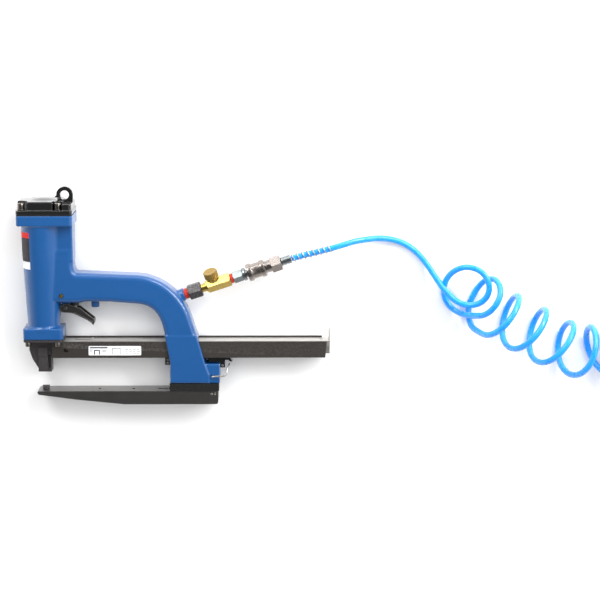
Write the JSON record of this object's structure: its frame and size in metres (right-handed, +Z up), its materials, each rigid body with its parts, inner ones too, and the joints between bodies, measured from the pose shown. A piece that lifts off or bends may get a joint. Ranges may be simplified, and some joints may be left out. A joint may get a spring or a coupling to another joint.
{
  "type": "pneumatic clinching stapler",
  "caption": "Pneumatic C-frame clinching stapler lying on its side: barrel head, hollow handle, anvil arm, rear-loading magazine, brass valve, quick coupler and blue spiral hose.",
  "frame": {"origin": "middle of the tool's own box, on the surface it lies on; the hose isn't counted", "axes": "+X along the magazine towards its loading end, +Y up the head towards the cap, +Z up from the surface"},
  "size_m": [0.9712, 0.2848, 0.0731],
  "materials": {
    "blue_enamel": "smooth gloss enamel on a casting",
    "black_enamel": "gloss black enamel",
    "satin_dark_steel": "satin blackened steel, lightly rubbed",
    "dark_steel": "blackened machined steel",
    "bright_steel": "zinc plated",
    "zinc": "bright zinc plated",
    "nickel": "nickel plated",
    "brass": "machined brass",
    "aluminium": "machined",
    "black_plastic": "moulded",
    "black_rubber": "moulded",
    "red_rubber": "sealing tape and washers",
    "blue_polyurethane": "smooth tube",
    "label_film": "printed film"
  },
  "bodies": {
    "tool": {"hose_guard": "bright_steel", "inlet_seal": "red_rubber", "union_nut": "dark_steel", "shutoff_valve_body": "brass", "nipple_seal": "red_rubber", "plug_nipple": "zinc", "coupler_body": "nickel", "hose_ferrule": "zinc", "main_housing": "blue_enamel", "cap_gasket": "black_rubber", "top_cap": "black_enamel", "cap_screw_1": "bright_steel", "cap_screw_2": "bright_steel", "cap_screw_3": "bright_steel", "cap_screw_4": "bright_steel", "suspension_eye": "black_enamel", "head_valve_spring": "bright_steel", "cylinder_sleeve": "aluminium", "bumper": "black_rubber", "nose_base_plate": "dark_steel", "nose_body": "dark_steel", "nose_screw_1": "bright_steel", "nose_screw_2": "bright_steel", "nose_screw_3": "bright_steel", "nose_screw_4": "bright_steel", "magazine_channel": "satin_dark_steel", "pusher_spring": "bright_steel", "magazine_bracket": "black_enamel", "bracket_screw_1": "bright_steel", "bracket_screw_2": "bright_steel", "latch_pin": "bright_steel", "foot_block": "black_enamel", "anvil_arm": "satin_dark_steel", "clinch_button": "dark_steel", "anvil_bolt_1": "dark_steel", "anvil_bolt_2": "dark_steel", "anvil_bolt_3": "dark_steel", "set_screw_1": "bright_steel", "set_screw_2": "bright_steel", "trigger_pin": "bright_steel", "trigger_valve_body": "black_plastic", "trigger_valve_spring": "bright_steel", "air_passage_plug": "brass", "hose_lead": "blue_polyurethane", "hose_spiral": "blue_polyurethane", "hose_pack": "blue_polyurethane", "hose_tail": "blue_polyurethane", "hose_end_plug": "zinc"},
    "piston_unit": {"piston": "aluminium", "piston_o_ring": "black_rubber", "driver_blade": "bright_steel"},
    "head_valve": {"head_valve": "black_plastic"},
    "trigger": {"trigger": "black_plastic"},
    "valve_stem": {"trigger_valve_stem": "bright_steel"},
    "rail": {"magazine_rail": "bright_steel", "staple_strip": "bright_steel"},
    "pusher": {"pusher": "dark_steel"},
    "latch": {"latch_wire": "bright_steel"},
    "coupler_sleeve": {"coupler_sleeve": "nickel"},
    "valve_knob": {"shutoff_valve_knob": "brass"}
  },
  "joints": [
    {"name": "trigger_pull", "type": "hinge", "parent": "tool", "child": "trigger", "pos_m": [-0.14317, -0.01528, 0.02379], "axis": [0.0093, -0.0435, 0.999], "range_deg": [0, 8], "stiffness_Nm_per_rad": 0.4, "springref_deg": -11.46},
    {"name": "valve_stem_slide", "type": "slide", "parent": "tool", "child": "valve_stem", "axis": [0.0004, 0.9991, 0.0435], "range_m": [0, 0.0019], "deforming": ["trigger_valve_spring"]},
    {"name": "piston_stroke", "type": "slide", "parent": "tool", "child": "piston_unit", "axis": [-0.0004, -0.9991, -0.0435], "range_m": [0, 0.044]},
    {"name": "head_valve_lift", "type": "slide", "parent": "tool", "child": "head_valve", "axis": [0.0004, 0.9991, 0.0435], "range_m": [0, 0.003], "stiffness_N_per_m": 1500, "springref_m": -0.004, "deforming": ["head_valve_spring"]},
    {"name": "rail_draw", "type": "slide", "parent": "tool", "child": "rail", "axis": [1, 0, -0.0093], "range_m": [0, 0.18]},
    {"name": "pusher_slide", "type": "slide", "parent": "rail", "child": "pusher", "axis": [1, 0, -0.0093], "range_m": [0, 0.25], "stiffness_N_per_m": 20, "springref_m": -0.2, "deforming": ["pusher_spring"]},
    {"name": "latch_swing", "type": "hinge", "parent": "tool", "child": "latch", "pos_m": [0.04538, -0.1042, 0.01815], "axis": [0.0093, -0.0435, 0.999], "range_deg": [-50, 0]},
    {"name": "coupler_release", "type": "slide", "parent": "tool", "child": "coupler_sleeve", "axis": [0.9473, 0.3203, 0.0051], "range_m": [0, 0.006], "stiffness_N_per_m": 1500, "springref_m": -0.003},
    {"name": "valve_knob_turn", "type": "hinge", "parent": "tool", "child": "valve_knob", "pos_m": [0.04567, 0.0248, 0.02768], "axis": [-0.2997, 0.8806, 0.3671], "range_deg": [0, 270]}
  ],
  "couplings": [
    {"joint": "valve_stem_slide", "follows": "trigger_pull", "m_per_rad": 0.0126}
  ]
}
